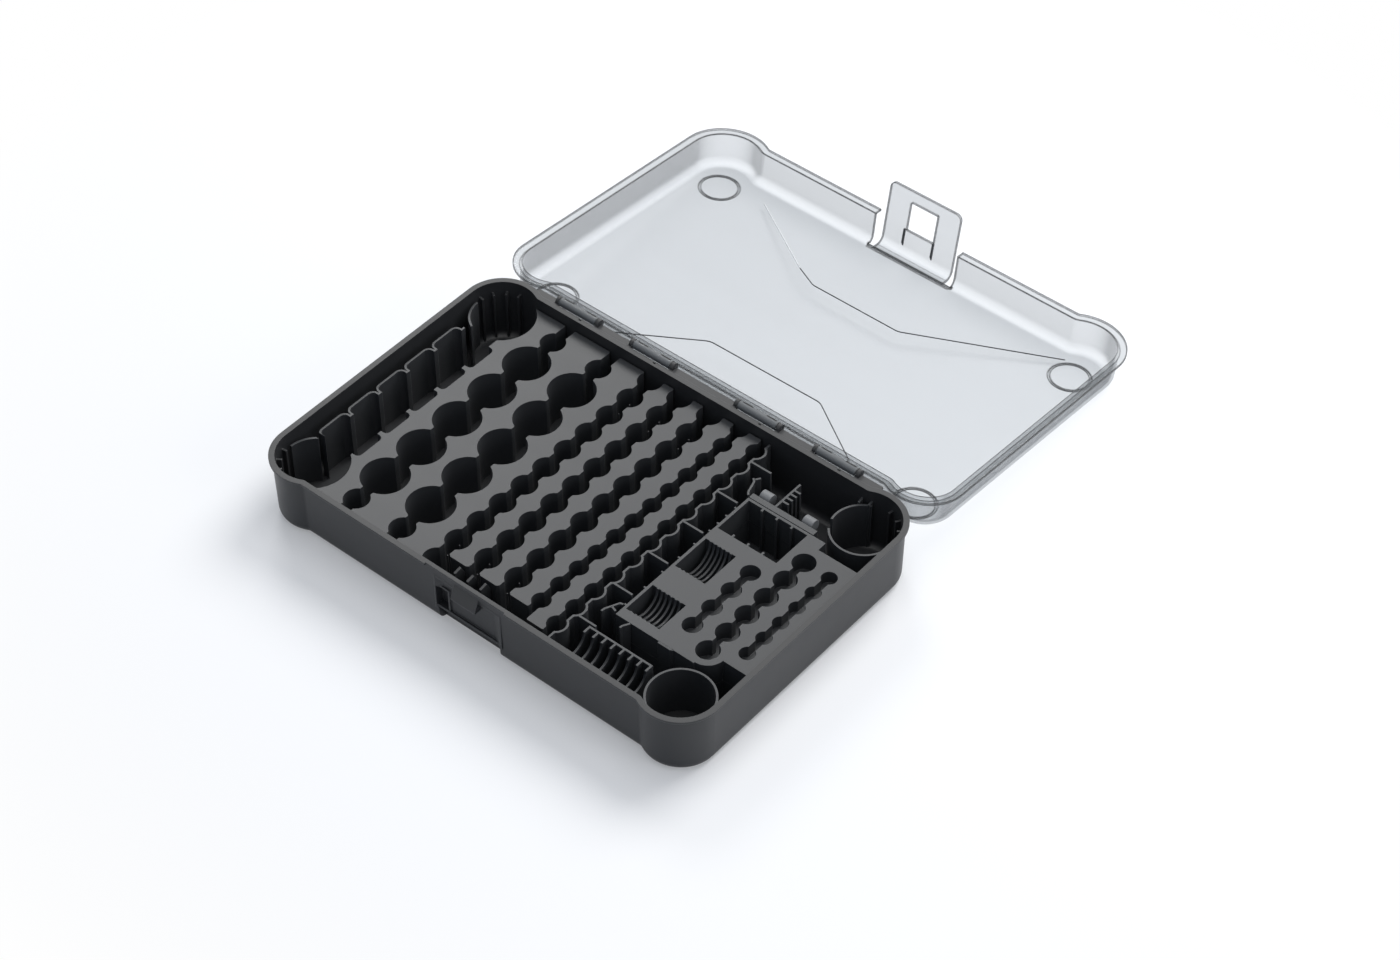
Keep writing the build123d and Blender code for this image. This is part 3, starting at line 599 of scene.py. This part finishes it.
@dataclass(frozen=True)
class DrawnSteel:
    """Bright drawn steel wire with fine lengthwise lines, a few dull spots and paler corners of painted
    highlight.
    """

    name: str
    tone: Colour = (0.55, 0.56, 0.57)
    # corner is the paler colour of the painted highlight along the corners
    corner: Colour = (0.7, 0.7, 0.7)
    darker: float = 0.7
    line_size: float = 0.00025
    line_stretch: Point = (40, 1, 1)
    line_depth: float = 0.00002
    line_shows: float = 0.3
    spot_size: float = 0.004
    spot_share: float = 0.7
    line_share: float = 0.3
    corner_width: float = 0.0002
    corner_gain: float = 1.5
    rough: float = 0.22
    lines_roughen: float = 0.1
    spots_roughen: float = 0.15

    def make(self) -> bpy.types.Material:
        """Builds the node material."""
        s = Shader(self.name)
        lines = s.noise(self.line_size, rough=0.6, stretch=self.line_stretch)
        spots = s.noise(self.spot_size, detail=5.0, rough=0.7)
        # The edge mask paints a highlight: corners are mixed towards the paler corner colour
        mask, rounded = s.edges(self.corner_width, self.corner_gain)
        variety = (spots * self.spot_share + lines * self.line_share).held()
        colour = s.mix(variety, tuple(c * self.darker for c in self.tone), self.tone)
        shader = s.node(
            "ShaderNodeBsdfPrincipled",
            {},
            {
                "Base Color": s.mix(mask, colour, self.corner),
                "Roughness": self.rough + lines * self.lines_roughen + spots * self.spots_roughen,
                "Metallic": 1.0,
                "Normal": s.bump(lines, self.line_depth, self.line_shows, rounded),
            },
        )
        return s.done(s.wire(shader))


CLEAR_TINT = (0.955, 0.962, 0.967)
CLEAR_BODY = (0.10, 0.105, 0.11)
# The clear edge colour is painted shade for the dark lines along the clear plastic's edges
CLEAR_EDGE = (0.012, 0.013, 0.015)


class Finish(Enum):
    """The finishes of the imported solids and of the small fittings."""

    # The second colour of each satin finish is the painted highlight along its corners
    SHELL = SatinMould("dark_satin_shell", (0.030, 0.031, 0.033), (0.17, 0.175, 0.18), 0.42)
    TRAY = SatinMould("dark_satin_tray", (0.045, 0.047, 0.050), (0.32, 0.325, 0.33), 0.38)
    CLIP = SatinMould("grey_clip", (0.17, 0.174, 0.18), (0.34, 0.345, 0.35), 0.46)
    PIN = DrawnSteel("pin_steel")
    # Painted shade: a dark finish standing for the dark lines that the clear lid's steps and ribs show
    LINE = SatinMould("dark_edge_painted_shade", (0.045, 0.048, 0.052), (0.10, 0.105, 0.11), 0.35)
    # Painted highlight: a pale finish standing for light caught on a step of the clear lid
    PAINTED_HIGHLIGHT_LINE = SatinMould("pale_edge_painted_highlight", (0.70, 0.71, 0.72), (0.80, 0.80, 0.80), 0.30)
    SLEEVE = SatinMould("smoke_grey", (0.155, 0.162, 0.165), (0.30, 0.31, 0.315), 0.34)
    # Painted shade: near-black finish for the slots' shadowed openings
    SLOT = SatinMould("slot_painted_shade", (0.006, 0.006, 0.007), (0.012, 0.012, 0.013), 0.7)
    LID = ClearMould("smoke_clear_lid", CLEAR_TINT, CLEAR_BODY, CLEAR_EDGE)
    FLAP = ClearMould("smoke_clear_flap", CLEAR_TINT, CLEAR_BODY, CLEAR_EDGE)


class FinishShelf:
    """Makes each finish once and hands it out."""

    def __init__(self) -> None:
        """Starts with nothing made."""
        self._made: dict[Finish, bpy.types.Material] = {}

    def get(self, finish: Finish) -> bpy.types.Material:
        """The finish's material, made on first use."""
        if finish not in self._made:
            self._made[finish] = finish.value.make()
        return self._made[finish]


# Sub-assemblies


@dataclass
class MouldedNodes:
    """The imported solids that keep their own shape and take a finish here."""

    shelf: FinishShelf
    shell: Sequence[str] = ("base_shell", "latch_wall_gussets")
    clips: Sequence[str] = ("tester_clip_left", "tester_clip_right")
    pins: Sequence[str] = ("hinge_pin_1", "hinge_pin_2", "hinge_pin_3", "hinge_pin_4")
    lid: Sequence[str] = ("lid_shell",)
    flap: Sequence[str] = ("latch_flap",)

    def finish_of(self, node: str) -> Finish:
        """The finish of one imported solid.

        Args:
            node: the solid's name.

        Returns:
            Its finish.
        """
        groups = {
            Finish.SHELL: self.shell,
            Finish.CLIP: self.clips,
            Finish.PIN: self.pins,
            Finish.LID: self.lid,
            Finish.FLAP: self.flap,
        }
        for finish, names in groups.items():
            if node in names:
                return finish
        return Finish.TRAY

    def dress(self) -> None:
        """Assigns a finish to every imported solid."""
        for name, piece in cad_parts.items():
            finish = self.finish_of(name)
            piece.data.materials.clear()
            piece.data.materials.append(self.shelf.get(finish))
            log.info("solid %s takes %s", name, finish.value.name)


@dataclass
class LidSteps:
    """The fine step lines on the inside of the lid's panel, drawn as dark beads of painted shade and one
    pale bead of painted highlight.
    """

    shelf: FinishShelf
    pose: LidPose = field(default_factory=LidPose)
    panel_z: float = 62.5
    bead: float = 0.34
    bead_sides: int = 8
    bend: float = 9.0
    bend_points: int = 10
    front: Sequence[tuple[float, float]] = (
        (-43.0, -41.8),
        (-28.0, -34.6),
        (34.0, -34.6),
        (118.5, -81.0),
    )
    front_pale: Sequence[tuple[float, float]] = ((-97.0, -76.0), (-43.4, -42.0))
    back: Sequence[tuple[float, float]] = (
        (-93.6, 87.1),
        (-38.0, 47.2),
        (40.5, 46.4),
        (80.6, 73.0),
        (84.5, 77.5),
    )

    def build(self) -> None:
        """Sweeps a fine bead along each line."""
        # Each dark bead is painted shade and the pale bead is a painted highlight, laid over the clear
        # panel's steps
        for name, line, finish in (
            ("lid_step_front", self.front, Finish.LINE),
            ("lid_step_front_pale", self.front_pale, Finish.PAINTED_HIGHLIGHT_LINE),
            ("lid_step_back", self.back, Finish.LINE),
        ):
            tree = ShapeTree(name + "_bead", {"Bead": self.bead * MM, "Bend": self.bend * MM})
            path = tree.node("GeometryNodeMeshToCurve", {}, {0: tree.source.outputs[0]})
            round_ = tree.node(
                "GeometryNodeFilletCurve",
                {"mode": "POLY"},
                {
                    "Curve": path.outputs[0],
                    "Count": self.bend_points,
                    "Radius": tree.size("Bend"),
                    "Limit Radius": True,
                },
            )
            ring = tree.node(
                "GeometryNodeCurvePrimitiveCircle",
                {},
                {"Resolution": self.bead_sides, "Radius": tree.size("Bead")},
            )
            sweep = tree.node(
                "GeometryNodeCurveToMesh",
                {},
                {"Curve": round_.outputs[0], "Profile Curve": ring.outputs[0], "Fill Caps": True},
            )
            tree.end(sweep.outputs[0], self.shelf.get(finish))
            base = path_mesh(name, [self.pose.laid(x, y, self.panel_z) for x, y in line])
            made = tree.run(name, base)
            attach(made, "lid")
            log.info("%s: %d faces", name, len(made.data.polygons))


@dataclass
class FlapRails:
    """Two upright ribs on the flap, from its window to its living hinge, coloured dark as painted shade."""

    shelf: FinishShelf
    pose: LidPose = field(default_factory=LidPose)
    rest: float = 4.0
    axis: tuple[float, float] = (-89.5, 62.95)
    sides: Sequence[float] = (-10.1, 10.7)
    face_y: float = -96.55
    low_z: float = 45.4
    high_z: float = 57.6
    tall: float = 1.3
    thick: float = 1.1
    root: float = 0.1
    slope: float = 2.5
    soft: float = 0.1

    def tipped(self, y: float, z: float) -> tuple[float, float]:
        """A place on the latched flap as it stands unlatched.

        Args:
            y: front to back, in mm.
            z: up, in mm.

        Returns:
            The turned y and z.
        """
        turn = math.radians(-self.rest)
        dy, dz = y - self.axis[0], z - self.axis[1]
        return (
            self.axis[0] + dy * math.cos(turn) - dz * math.sin(turn),
            self.axis[1] + dy * math.sin(turn) + dz * math.cos(turn),
        )

    def build(self) -> None:
        """Builds both ribs."""
        for side, x in zip(("left", "right"), self.sides):
            profile = (
                (self.face_y - self.root, self.low_z),
                (self.face_y + self.tall, self.low_z),
                (self.face_y + self.tall, self.high_z - self.slope),
                (self.face_y - self.root, self.high_z),
            )
            corners = []
            for dx in (-self.thick / 2, self.thick / 2):
                corners += [self.pose.laid(x + dx, *self.tipped(y, z)) for y, z in profile]
            sides = [(i, (i + 1) % 4, 4 + (i + 1) % 4, 4 + i) for i in range(4)]
            faces = [(3, 2, 1, 0), (4, 5, 6, 7)] + sides
            mesh = bpy.data.meshes.new(f"flap_rib_{side}")
            mesh.from_pydata(corners, [], faces)
            made = piece_of(f"flap_rib_{side}", mesh)
            # The dark line finish is painted shade for the dark lines that the ribs' clear edges show
            made.data.materials.append(self.shelf.get(Finish.LINE))
            soften(made, self.soft * MM)
            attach(made, "flap")
            log.info("%s built", made.name)


@dataclass
class HingeSleeves:
    """Smoke-grey sleeves over the lid's hinge barrels, each with two narrow slots along its top drawn as
    near-black strips of painted shade.
    """

    shelf: FinishShelf
    hinges: Sequence[float] = (-91.7, -37.4, 37.4, 91.7)
    half: float = 13.4
    radius: float = 2.66
    arc: tuple[float, float] = (12.0, 200.0)
    slot_at: Sequence[float] = (-8.2, 8.2)
    slot_long: float = 6.9
    slot_radius: float = 2.70
    slot_arc: tuple[float, float] = (48.0, 80.0)
    steps: int = 14
    skin: float = 0.05
    pose: LidPose = field(default_factory=LidPose)

    def strips(
        self, name: str, spans: Sequence[tuple[float, float]], radius: float, arc: tuple[float, float]
    ) -> bpy.types.Object:
        """Curved strips about the hinge axis.

        Args:
            name: the piece's name.
            spans: each strip's ends along the axis, in mm.
            radius: their radius, in mm.
            arc: first and last angle above the back direction, in degrees.

        Returns:
            The piece.
        """
        points: list[Point] = []
        faces: list[tuple[int, ...]] = []
        for low, high in spans:
            first = len(points)
            for x in (low, high):
                for k in range(self.steps + 1):
                    turn = math.radians(arc[0] + (arc[1] - arc[0]) * k / self.steps)
                    y = self.pose.axis_y + radius * math.cos(turn)
                    z = self.pose.axis_z + radius * math.sin(turn)
                    points.append((x * MM, y * MM, z * MM))
            for k in range(self.steps):
                a, b = first + k, first + self.steps + 1 + k
                faces.append((a, a + 1, b + 1, b))
        mesh = bpy.data.meshes.new(name)
        mesh.from_pydata(points, [], faces)
        made = bpy.data.objects.new(name, mesh)
        bpy.context.scene.collection.objects.link(made)
        skin = made.modifiers.new("depth", "SOLIDIFY")
        skin.thickness = self.skin * MM
        skin.offset = 0
        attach(made, "lid")
        log.info("%s: %d faces", name, len(mesh.polygons))
        return made

    def build(self) -> None:
        """Builds the sleeves and their slots."""
        spans = [(x - self.half, x + self.half) for x in self.hinges]
        sleeves = self.strips("hinge_sleeves", spans, self.radius, self.arc)
        sleeves.data.materials.append(self.shelf.get(Finish.SLEEVE))
        half = self.slot_long / 2
        # The slots are painted shade: near-black strips laid on the sleeve where the slots' shadowed
        # openings show
        cuts = [(x + at - half, x + at + half) for x in self.hinges for at in self.slot_at]
        slots = self.strips("hinge_slots", cuts, self.slot_radius, self.slot_arc)
        slots.data.materials.append(self.shelf.get(Finish.SLOT))


@dataclass
class DockPosts:
    """Thin posts beside the tester dock, ribs in a corner, and tabs on the coin tray's front wall."""

    shelf: FinishShelf
    thick: float = 1.2
    foot: float = FLOOR_TOP
    top: float = 34.1
    soft: float = 0.15
    posts: dict[str, Sequence[tuple[float, float]]] = field(
        default_factory=lambda: {
            "dock_post_back": ((66.2, 55.2), (64.6, 57.4), (62.4, 65.0), (60.4, 66.6)),
            "dock_post_back_head": ((61.8, 66.4), (63.6, 69.2)),
            "dock_post_front": ((60.4, -57.4), (60.6, -55.2), (64.4, -47.2), (66.2, -46.8)),
            "dock_post_front_head": ((62.4, -51.6), (66.2, -52.8)),
            "corner_rib_left": ((114.6, 88.6), (114.0, 92.6)),
            "corner_rib_right": ((120.0, 90.2), (119.7, 93.6)),
            "skirt_hook_left": ((75.2, -60.2), (75.4, -58.4), (77.6, -54.6)),
            "skirt_tab_right": ((96.6, -55.0), (104.6, -55.0), (106.0, -54.2)),
        }
    )

    def build(self) -> None:
        """Builds each post as a thin upright wall."""
        for name, line in self.posts.items():
            plan = wall_plan([(x * MM, y * MM) for x, y in line], self.thick * MM)
            made = piece_of(name, prism(name, plan, self.foot * MM, self.top * MM))
            made.data.materials.append(self.shelf.get(Finish.TRAY))
            soften(made, self.soft * MM)
            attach(made, "base")
            log.info("%s built", name)


@dataclass
class BackLedge:
    """The strips of ledge that carry the base's back rim out to the hinge line, between the hinges."""

    shelf: FinishShelf
    spans: Sequence[tuple[float, float]] = (
        (-122.0, -107.6),
        (-75.8, -53.3),
        (-21.5, 21.5),
        (53.3, 75.8),
        (107.6, 122.0),
    )
    inner_y: float = 95.6
    outer_y: float = 100.2
    drop: float = 0.04
    thick: float = 1.6
    soft: float = 0.3
    above_divider: float = 7.1

    def build(self) -> None:
        """Builds one strip for each span, level with the rim."""
        rim_z = self.rim_height()
        high, low = rim_z - self.drop, rim_z - self.drop - self.thick
        for number, (x0, x1) in enumerate(self.spans, 1):
            plan = [(x0, self.inner_y), (x1, self.inner_y), (x1, self.outer_y), (x0, self.outer_y)]
            name = f"back_ledge_{number}"
            outline = [(x * MM, y * MM) for x, y in plan]
            made = piece_of(name, prism(name, outline, low * MM, high * MM))
            made.data.materials.append(self.shelf.get(Finish.SHELL))
            soften(made, self.soft * MM)
            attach(made, "base")
            log.info("%s built at %.1f mm", made.name, rim_z)

    def rim_height(self) -> float:
        """The rim's height in mm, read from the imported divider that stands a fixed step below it."""
        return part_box("divider_c_to_c")[1][2] / MM + self.above_divider


@dataclass
class RowPegs:
    """Small moulded pegs standing between the cells of the middle rows, repeated by a geometry tree."""

    shelf: FinishShelf
    rows: Sequence[float] = (-30.2, -9.0, 12.1)
    places: Sequence[float] = (70.7, 61.6, -66.8, -76.1)
    radius: float = 0.55
    taper: float = 0.6
    sides: int = 10
    foot: float = FLOOR_TOP
    top: float = 29.0

    def build(self) -> None:
        """Stands one tapered peg at each point."""
        sizes = {
            "Radius": self.radius * MM,
            "Tip": self.radius * MM * self.taper,
            "Tall": (self.top - self.foot) * MM,
        }
        tree = ShapeTree("row_peg", sizes)
        peg = tree.node(
            "GeometryNodeMeshCone",
            {},
            {
                "Vertices": self.sides,
                "Radius Top": tree.size("Tip"),
                "Radius Bottom": tree.size("Radius"),
                "Depth": tree.size("Tall"),
            },
        )
        spots = tree.node(
            "GeometryNodeInstanceOnPoints",
            {},
            {"Points": tree.source.outputs[0], "Instance": peg.outputs[0]},
        )
        tree.end(spots.outputs[0], self.shelf.get(Finish.TRAY))
        base = bpy.data.meshes.new("row_pegs")
        feet = [(x * MM, y * MM, self.foot * MM) for x in self.rows for y in self.places]
        base.from_pydata(feet, [], [])
        made = tree.run("row_pegs", base)
        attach(made, "base")
        log.info("row_pegs: %d faces", len(made.data.polygons))


@dataclass
class TrayNubs:
    """Short nubs along the coin tray's left edge, repeated by a geometry tree."""

    shelf: FinishShelf
    edge_x: float = 67.6
    out: float = 1.5
    wide: float = 1.1
    top: float = 34.0
    tall: float = 12.0
    bite: float = 0.2
    soft: float = 0.12
    places: Sequence[float] = (-46.0, -30.5, -16.5, -3.0, 9.5, 22.0, 29.0, 36.0, 43.5)

    def build(self) -> None:
        """Places one small block at each point."""
        sizes = {"Out": self.out * MM, "Wide": self.wide * MM, "Tall": self.tall * MM}
        tree = ShapeTree("tray_nub", sizes)
        size = tree.node(
            "ShaderNodeCombineXYZ", {}, {0: tree.size("Out"), 1: tree.size("Wide"), 2: tree.size("Tall")}
        )
        nub = tree.node("GeometryNodeMeshCube", {}, {"Size": size.outputs[0]})
        spots = tree.node(
            "GeometryNodeInstanceOnPoints",
            {},
            {"Points": tree.source.outputs[0], "Instance": nub.outputs[0]},
        )
        tree.end(spots.outputs[0], self.shelf.get(Finish.TRAY))
        x, z = self.edge_x - self.out / 2 + self.bite, self.top - self.tall / 2
        base = bpy.data.meshes.new("tray_nubs")
        base.from_pydata([(x * MM, y * MM, z * MM) for y in self.places], [], [])
        made = tree.run("tray_nubs", base)
        soften(made, self.soft * MM)
        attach(made, "base")
        log.info("tray_nubs: %d faces", len(made.data.polygons))


# Studio


@dataclass
class Studio:
    """Plain white floor, soft lamps and a pale surround."""

    floor_half: float = 6.0
    floor_tone: Colour = (0.90, 0.91, 0.93)
    floor_lift: float = 0.26
    near: float = 0.25
    far: float = 0.50
    surround: Colour = (0.66, 0.79, 1.0)
    surround_level: float = 0.28
    lamps: Sequence[tuple[str, Point, float, float, Colour]] = (
        ("back_soft_lamp", (0.20, 1.70, 1.75), 1.5, 43.0, (1.0, 0.985, 0.96)),
        ("left_soft_lamp", (-1.85, 1.55, 1.95), 1.2, 24.0, (1.0, 0.995, 0.98)),
        ("top_soft_lamp", (0.15, 0.10, 1.70), 1.2, 8.0, (1.0, 0.99, 0.97)),
        ("right_soft_lamp", (1.60, 0.15, 0.80), 1.0, 4.5, (1.0, 0.99, 0.98)),
    )
    target: Point = (0.0, 0.10, 0.02)

    def surfaces_seen(self, s: NodeShop) -> Wire:
        """1 for camera, mirror and clear-plastic rays, and 0 for light that falls on the object."""
        path = s.node("ShaderNodeLightPath")
        parts = [s.wire(path, n) for n in ("Is Camera Ray", "Is Glossy Ray", "Is Transmission Ray")]
        return (parts[0] + parts[1] + parts[2]).held()

    def floor(self) -> bpy.types.Object:
        """Makes the floor.

        Returns:
            The floor.
        """
        h = self.floor_half
        mesh = bpy.data.meshes.new("floor")
        mesh.from_pydata([(-h, -h, 0), (h, -h, 0), (h, h, 0), (-h, h, 0)], [], [(0, 1, 2, 3)])
        made = bpy.data.objects.new("floor", mesh)
        bpy.context.scene.collection.objects.link(made)
        s = Shader("white_floor")
        matt = s.node("ShaderNodeBsdfDiffuse", {}, {"Color": (*self.floor_tone, 1.0)})
        white = s.node("ShaderNodeEmission", {}, {"Color": (1, 1, 1, 1), "Strength": 1.0})
        spot = s.node(
            "ShaderNodeVectorMath",
            {"operation": "DISTANCE"},
            {0: s.place(), 1: (self.target[0], self.target[1], 0.0)},
        )
        away = ((Wire(s, spot.outputs["Value"]) - self.near) * (1 / (self.far - self.near))).held()
        share = (self.floor_lift + away * (1 - self.floor_lift)) * self.surfaces_seen(s)
        both = s.node("ShaderNodeMixShader", {}, {0: share, 1: s.wire(matt), 2: s.wire(white)})
        made.data.materials.append(s.done(s.wire(both)))
        return made

    def sky(self) -> None:
        """Makes the surround: white to the eye, and a soft cool light on the object."""
        world = bpy.data.worlds.new("surround")
        bpy.context.scene.world = world
        world.use_nodes = True
        s = NodeShop(world.node_tree)
        soft = s.node(
            "ShaderNodeBackground", {}, {"Color": (*self.surround, 1.0), "Strength": self.surround_level}
        )
        white = s.node("ShaderNodeBackground", {}, {"Color": (1, 1, 1, 1), "Strength": 1.0})
        share = self.surfaces_seen(s)
        both = s.node("ShaderNodeMixShader", {}, {0: share, 1: s.wire(soft), 2: s.wire(white)})
        s.node("ShaderNodeOutputWorld", {}, {"Surface": s.wire(both)})

    def lights(self) -> None:
        """Hangs the soft lamps, each turned to the box."""
        for name, place, size, power, colour in self.lamps:
            data = bpy.data.lights.new(name, "AREA")
            data.shape = "DISK"
            data.size = size
            data.energy = power
            data.color = colour
            lamp = bpy.data.objects.new(name, data)
            bpy.context.scene.collection.objects.link(lamp)
            lamp.location = place
            lamp.rotation_mode = "QUATERNION"
            lamp.rotation_quaternion = (Vector(self.target) - Vector(place)).to_track_quat("-Z", "Y")

    def build(self) -> None:
        """Builds floor, surround and lamps, and sets the plain view."""
        self.floor()
        self.sky()
        self.lights()
        bpy.context.scene.view_settings.view_transform = "Standard"
        log.info("studio ready")


@dataclass
class ViewCamera:
    """The camera at the photograph's own viewpoint."""

    place: Point = (0.807686, -0.881076, 1.269165)
    right: Point = (0.76932229, 0.63885868, 0.00167443)
    up: Point = (-0.4581839, 0.54992099, 0.69832257)
    back: Point = (0.44520863, -0.53800232, 0.71578124)
    lens: float = 83.032
    sensor: float = 36.0
    nearest: float = 0.05
    farthest: float = 50.0

    def build(self) -> bpy.types.Object:
        """Makes the camera.

        Returns:
            The scene's camera.
        """
        data = bpy.data.cameras.new("photo_camera")
        data.sensor_width = self.sensor
        data.lens = self.lens
        data.clip_start, data.clip_end = self.nearest, self.farthest
        made = bpy.data.objects.new("photo_camera", data)
        bpy.context.scene.collection.objects.link(made)
        turn = Matrix((self.right, self.up, self.back)).transposed().to_4x4()
        made.matrix_world = Matrix.Translation(Vector(self.place)) @ turn
        bpy.context.scene.camera = made
        log.info("camera lens %.2f mm", self.lens)
        return made


def main() -> None:
    """Builds the looks in order."""
    logging.basicConfig(level=logging.INFO, format="%(name)s: %(message)s")
    shelf = FinishShelf()
    MouldedNodes(shelf).dress()
    LidSteps(shelf).build()
    FlapRails(shelf).build()
    HingeSleeves(shelf).build()
    DockPosts(shelf).build()
    TrayNubs(shelf).build()
    BackLedge(shelf).build()
    RowPegs(shelf).build()
    Studio().build()
    ViewCamera().build()


if __name__ == "__main__":
    main()
